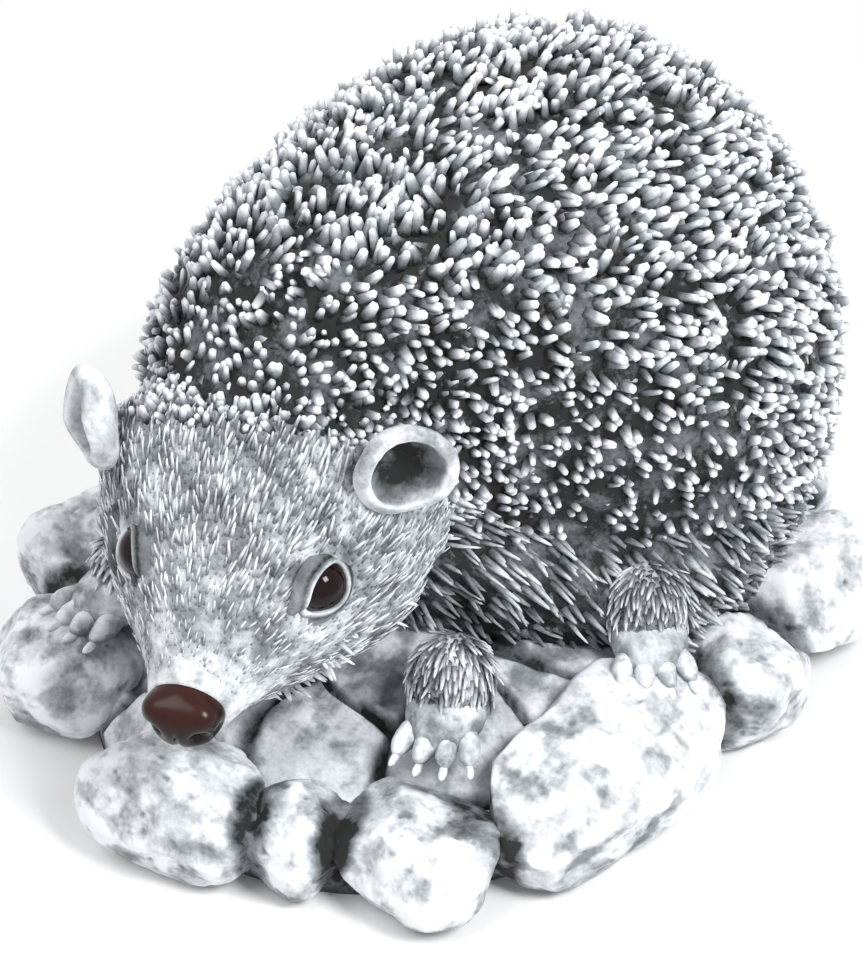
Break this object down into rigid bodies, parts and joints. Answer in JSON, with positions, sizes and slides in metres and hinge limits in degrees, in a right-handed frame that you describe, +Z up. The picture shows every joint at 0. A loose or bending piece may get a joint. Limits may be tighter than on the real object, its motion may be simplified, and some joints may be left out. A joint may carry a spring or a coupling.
{
  "type": "hedgehog figurine",
  "caption": "Cast-stone garden figurine of a hedgehog lying on a bed of rounded stones, flat underneath.",
  "frame": {"origin": "centre of the flat underside of the stone bed", "axes": "+Z up, snout towards -Y, the animal's left side towards +X"},
  "size_m": [0.1796, 0.2029, 0.139],
  "materials": {
    "antiqued_stone": "matte, dry-brushed",
    "eye_lacquer": "gloss",
    "nose_lacquer": "gloss"
  },
  "bodies": {
    "root": {"rock_bed": "antiqued_stone", "front_left_stone": "antiqued_stone", "front_middle_stone": "antiqued_stone", "front_stone": "antiqued_stone", "front_right_stone": "antiqued_stone", "right_stone": "antiqued_stone", "right_rear_stone": "antiqued_stone", "rear_right_stone": "antiqued_stone", "rear_stone": "antiqued_stone", "rear_left_stone": "antiqued_stone", "left_rear_stone": "antiqued_stone", "left_middle_stone": "antiqued_stone", "left_stone": "antiqued_stone", "left_front_stone": "antiqued_stone", "torso": "antiqued_stone", "spine_coat": "antiqued_stone", "head": "antiqued_stone", "left_ear": "antiqued_stone", "right_ear": "antiqued_stone", "left_eye": "eye_lacquer", "right_eye": "eye_lacquer", "nose": "nose_lacquer", "left_front_paw": "antiqued_stone", "right_front_paw": "antiqued_stone", "left_hind_paw": "antiqued_stone", "right_hind_paw": "antiqued_stone"}
  },
  "joints": []
}
